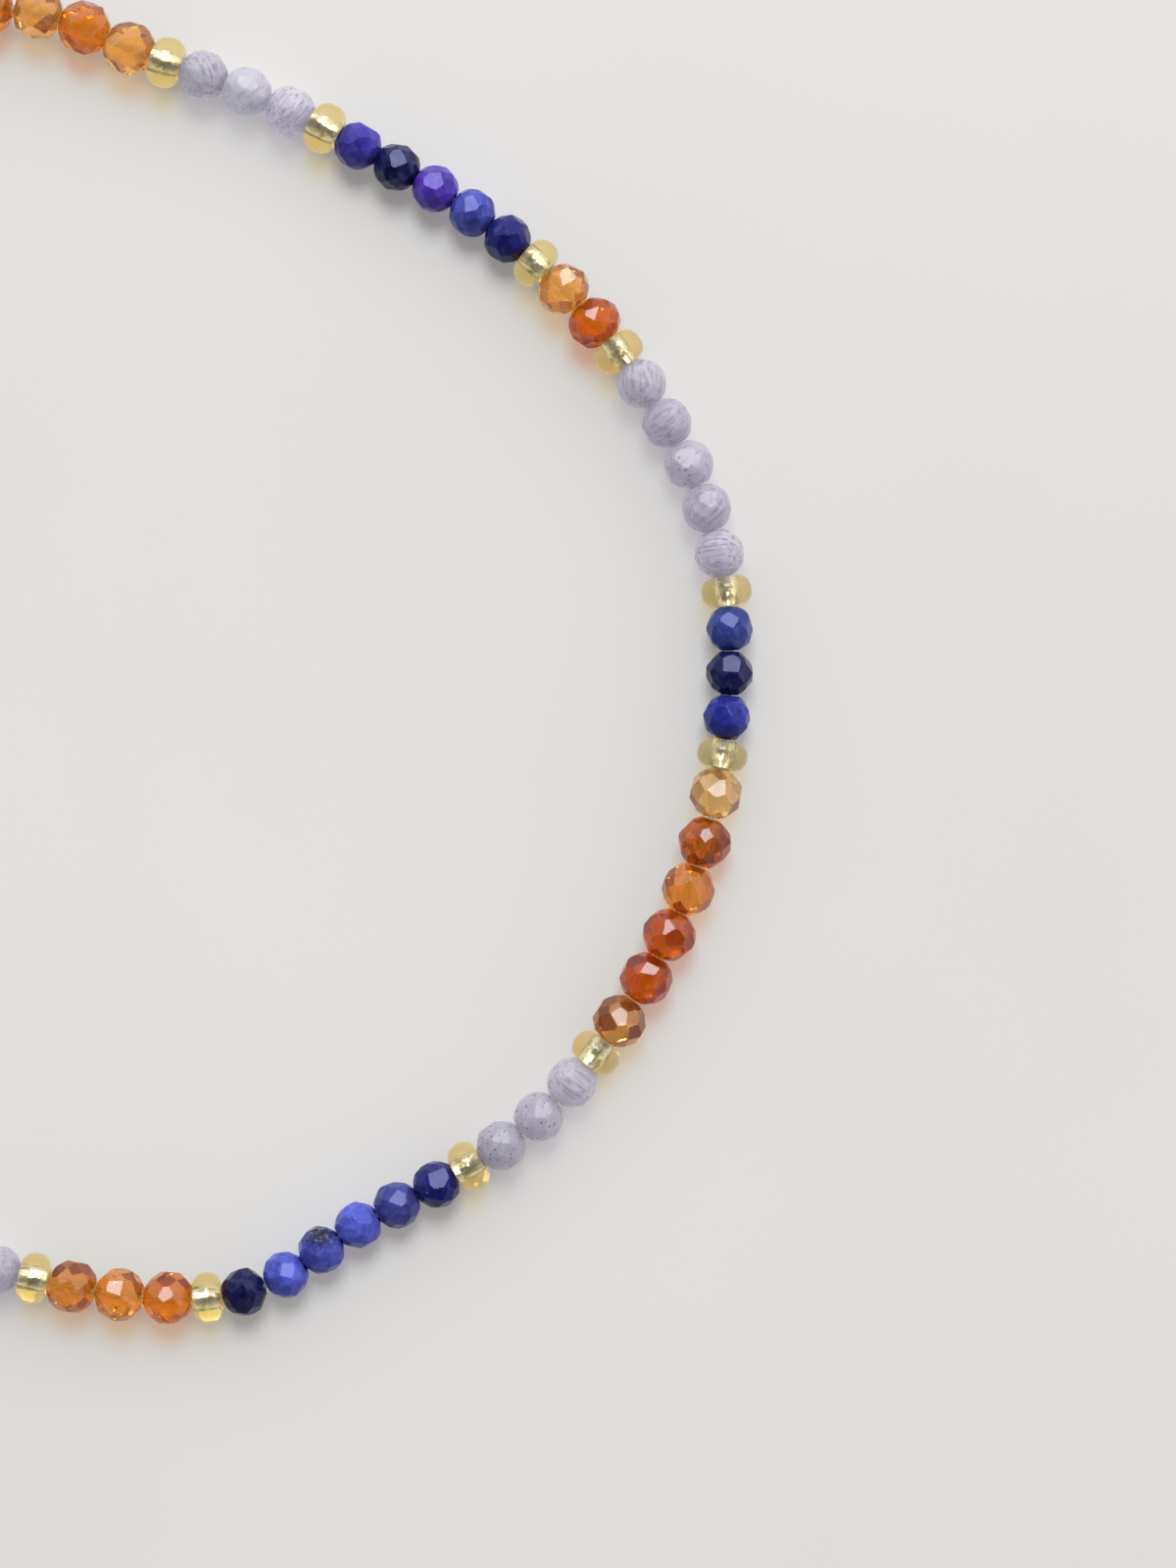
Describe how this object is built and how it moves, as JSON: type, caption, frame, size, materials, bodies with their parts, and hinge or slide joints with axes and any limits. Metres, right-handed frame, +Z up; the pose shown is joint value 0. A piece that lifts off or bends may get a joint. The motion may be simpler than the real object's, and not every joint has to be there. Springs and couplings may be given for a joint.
{
  "type": "bracelet",
  "caption": "Fine beaded bracelet: runs of small faceted stones between glass seed beads, strung on a thread and closed by a plain barrel clasp.",
  "frame": {"origin": "centre of the bounding box, on the surface the bracelet lies on", "axes": "+Z up, through the loop; the loop lies in the XY plane, with the clasp towards -X and the pictured half towards +X"},
  "size_m": [0.0592, 0.058, 0.0024],
  "materials": {
    "orange_stone": "clear honey to red-orange faceted stone, polished",
    "lavender_stone": "cloudy pale lavender stone with fine dark needles, satin polish",
    "blue_stone": "opaque mottled blue stone with pale and dark patches, polished",
    "gold_glass": "pale gold glass with a crinkled silver lining in the hole",
    "gold_metal": "plain polished gold tone",
    "thread": "plain twisted off-white thread"
  },
  "bodies": {
    "root": {"blue_run_1": "blue_stone", "blue_run_2": "blue_stone", "blue_run_3": "blue_stone", "blue_run_4": "blue_stone", "blue_run_5": "blue_stone", "blue_run_6": "blue_stone", "clasp": "gold_metal", "gold_seed_1": "gold_glass", "gold_seed_10": "gold_glass", "gold_seed_11": "gold_glass", "gold_seed_12": "gold_glass", "gold_seed_13": "gold_glass", "gold_seed_14": "gold_glass", "gold_seed_15": "gold_glass", "gold_seed_16": "gold_glass", "gold_seed_17": "gold_glass", "gold_seed_18": "gold_glass", "gold_seed_19": "gold_glass", "gold_seed_2": "gold_glass", "gold_seed_3": "gold_glass", "gold_seed_4": "gold_glass", "gold_seed_5": "gold_glass", "gold_seed_6": "gold_glass", "gold_seed_7": "gold_glass", "gold_seed_8": "gold_glass", "gold_seed_9": "gold_glass", "lavender_run_1": "lavender_stone", "lavender_run_2": "lavender_stone", "lavender_run_3": "lavender_stone", "lavender_run_4": "lavender_stone", "lavender_run_5": "lavender_stone", "lavender_run_6": "lavender_stone", "orange_run_1": "orange_stone", "orange_run_2": "orange_stone", "orange_run_3": "orange_stone", "orange_run_4": "orange_stone", "orange_run_5": "orange_stone", "orange_run_6": "orange_stone", "thread": "thread"}
  },
  "joints": []
}
